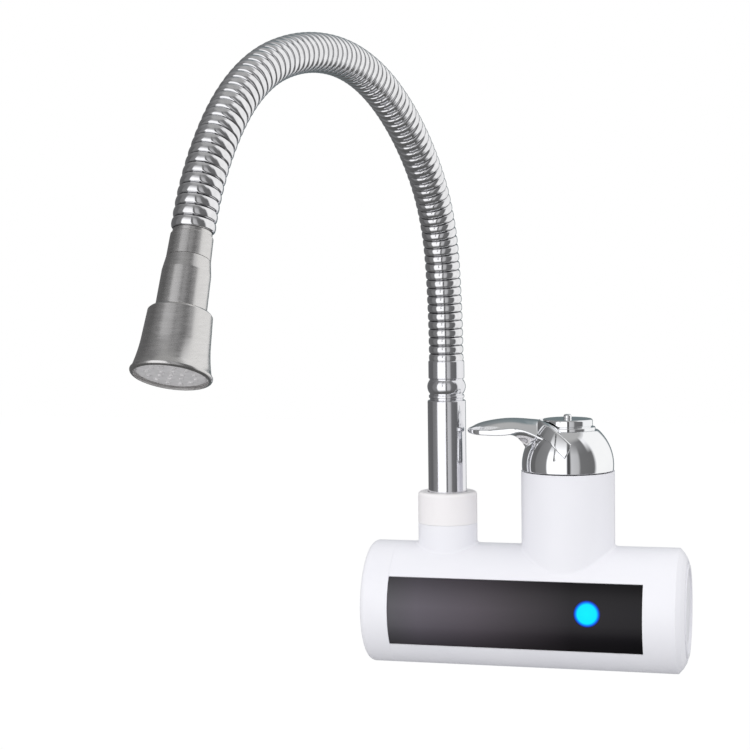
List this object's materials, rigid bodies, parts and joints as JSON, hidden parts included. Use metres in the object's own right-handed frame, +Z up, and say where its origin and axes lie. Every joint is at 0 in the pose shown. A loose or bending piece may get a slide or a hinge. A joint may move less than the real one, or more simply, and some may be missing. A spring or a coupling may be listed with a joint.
{
  "type": "electric instant water heater tap",
  "caption": "Wall-fed instant water heater tap: horizontal round heater body with display window, lever-turned valve pillar, and a swivelling flexible ribbed gooseneck with a spray head.",
  "frame": {"origin": "on the wall inlet's axis, in the plane of the hexagon's wall seat", "axes": "+Y along the wall inlet into the wall, -Y towards the user, +X along the heater body to its right end, +Z up"},
  "size_m": [0.1914, 0.3254, 0.3053],
  "materials": {
    "body_white": "glossy moulded white",
    "window_black": "polished smoked acrylic",
    "indicator_blue": "lit translucent blue",
    "led_white": "clear resin",
    "board_green": "solder mask over glass fibre",
    "component_black": "moulded",
    "terminal_grey": "moulded",
    "gland_white": "fine moulded",
    "stainless": "drawn",
    "element_sheath": "heat-tinted",
    "brass": "machined",
    "inlet_chrome": "plated",
    "seal_rubber": "moulded",
    "nylon": "moulded",
    "disc_ceramic": "lapped",
    "spindle_brass": "machined",
    "chrome": "mirror plated",
    "hose_steel": "polished steel strip",
    "satin_nickel": "satin",
    "spray_face": "satin grey"
  },
  "bodies": {
    "heater": {"body_shell": "body_white", "left_end_cap": "body_white", "right_end_cap": "body_white", "display_window": "window_black", "indicator_lens": "indicator_blue", "display_board": "board_green", "indicator_led": "led_white", "heating_tank": "stainless", "tank_cover": "stainless", "tank_seal": "seal_rubber", "tank_screws": "stainless", "heating_element": "element_sheath", "element_terminals": "element_sheath", "thermal_cutout": "component_black", "temperature_probe": "stainless", "outlet_socket": "brass", "collar_nut": "body_white", "transfer_tube": "brass", "valve_body": "brass", "fixed_disc": "disc_ceramic", "cartridge_body": "nylon", "cartridge_nut": "brass", "wall_inlet": "inlet_chrome", "inlet_locknut": "inlet_chrome", "inlet_filter": "stainless", "control_board": "board_green", "power_relay": "component_black", "terminal_block": "terminal_grey", "reed_switch": "component_black", "cable_gland": "gland_white"},
    "spout": {"riser_tube": "chrome", "spout_orings": "seal_rubber", "slip_ring": "nylon", "lower_ferrule": "chrome", "gooseneck_1": "hose_steel"},
    "gooseneck_2": {"gooseneck_2": "hose_steel"},
    "gooseneck_3": {"gooseneck_3": "hose_steel"},
    "gooseneck_4": {"gooseneck_4": "hose_steel"},
    "gooseneck_5": {"gooseneck_5": "hose_steel"},
    "gooseneck_6": {"gooseneck_6": "hose_steel"},
    "gooseneck_7": {"gooseneck_7": "hose_steel"},
    "spray_head": {"upper_ferrule": "satin_nickel", "head_nut": "satin_nickel", "seat_washer": "seal_rubber", "head_core": "nylon"},
    "spray_bell": {"spray_bell": "satin_nickel", "mode_disc": "nylon", "spray_plate": "spray_face"},
    "handle": {"handle": "chrome", "handle_cap": "chrome", "handle_screw": "chrome", "cartridge_spindle": "spindle_brass", "moving_disc": "disc_ceramic"},
    "flow_piston": {"flow_piston": "nylon"}
  },
  "joints": [
    {"name": "spout_swivel", "type": "hinge", "parent": "heater", "child": "spout", "pos_m": [-0.0616, -0.052, 0.0442], "axis": [0, 0, 1], "continuous": true},
    {"name": "gooseneck_bend", "type": "hinge", "parent": "spout", "child": "gooseneck_2", "pos_m": [-0.06243, -0.05544, 0.17383], "axis": [0.9724, -0.2334, 0], "range_deg": [-8, 4]},
    {"name": "gooseneck_bend_2", "type": "hinge", "parent": "gooseneck_2", "child": "gooseneck_3", "pos_m": [-0.06713, -0.07504, 0.21966], "axis": [0.9724, -0.2334, 0], "range_deg": [-8, 4]},
    {"name": "gooseneck_bend_3", "type": "hinge", "parent": "gooseneck_3", "child": "gooseneck_4", "pos_m": [-0.07621, -0.11285, 0.25171], "axis": [0.9724, -0.2334, 0], "range_deg": [-8, 4]},
    {"name": "gooseneck_bend_4", "type": "hinge", "parent": "gooseneck_4", "child": "gooseneck_5", "pos_m": [-0.08751, -0.15991, 0.26536], "axis": [0.9724, -0.2334, 0], "range_deg": [-8, 4]},
    {"name": "gooseneck_bend_5", "type": "hinge", "parent": "gooseneck_5", "child": "gooseneck_6", "pos_m": [-0.09917, -0.20847, 0.25856], "axis": [0.9724, -0.2334, 0], "range_deg": [-8, 4]},
    {"name": "gooseneck_bend_6", "type": "hinge", "parent": "gooseneck_6", "child": "gooseneck_7", "pos_m": [-0.10886, -0.24884, 0.23056], "axis": [0.9724, -0.2334, 0], "range_deg": [-8, 4]},
    {"name": "head_tilt", "type": "hinge", "parent": "gooseneck_7", "child": "spray_head", "pos_m": [-0.11446, -0.2722, 0.18632], "axis": [0.9724, -0.2334, 0], "range_deg": [-8, 4]},
    {"name": "spray_turn", "type": "hinge", "parent": "spray_head", "child": "spray_bell", "pos_m": [-0.11526, -0.28787, 0.14953], "axis": [-0.0198, -0.3918, -0.9198], "range_deg": [0, 90]},
    {"name": "handle_turn", "type": "hinge", "parent": "heater", "child": "handle", "pos_m": [0, -0.052, 0.06], "axis": [0, 0, 1], "range_deg": [-3, 177]},
    {"name": "flow_piston_slide", "type": "slide", "parent": "heater", "child": "flow_piston", "axis": [0, 0, 1], "range_m": [0, 0.006]}
  ],
  "couplings": [
    {"joint": "gooseneck_bend_2", "follows": "gooseneck_bend", "ratio": 1},
    {"joint": "gooseneck_bend_3", "follows": "gooseneck_bend", "ratio": 1},
    {"joint": "gooseneck_bend_4", "follows": "gooseneck_bend", "ratio": 1},
    {"joint": "gooseneck_bend_5", "follows": "gooseneck_bend", "ratio": 1},
    {"joint": "gooseneck_bend_6", "follows": "gooseneck_bend", "ratio": 1},
    {"joint": "head_tilt", "follows": "gooseneck_bend", "ratio": 1}
  ]
}
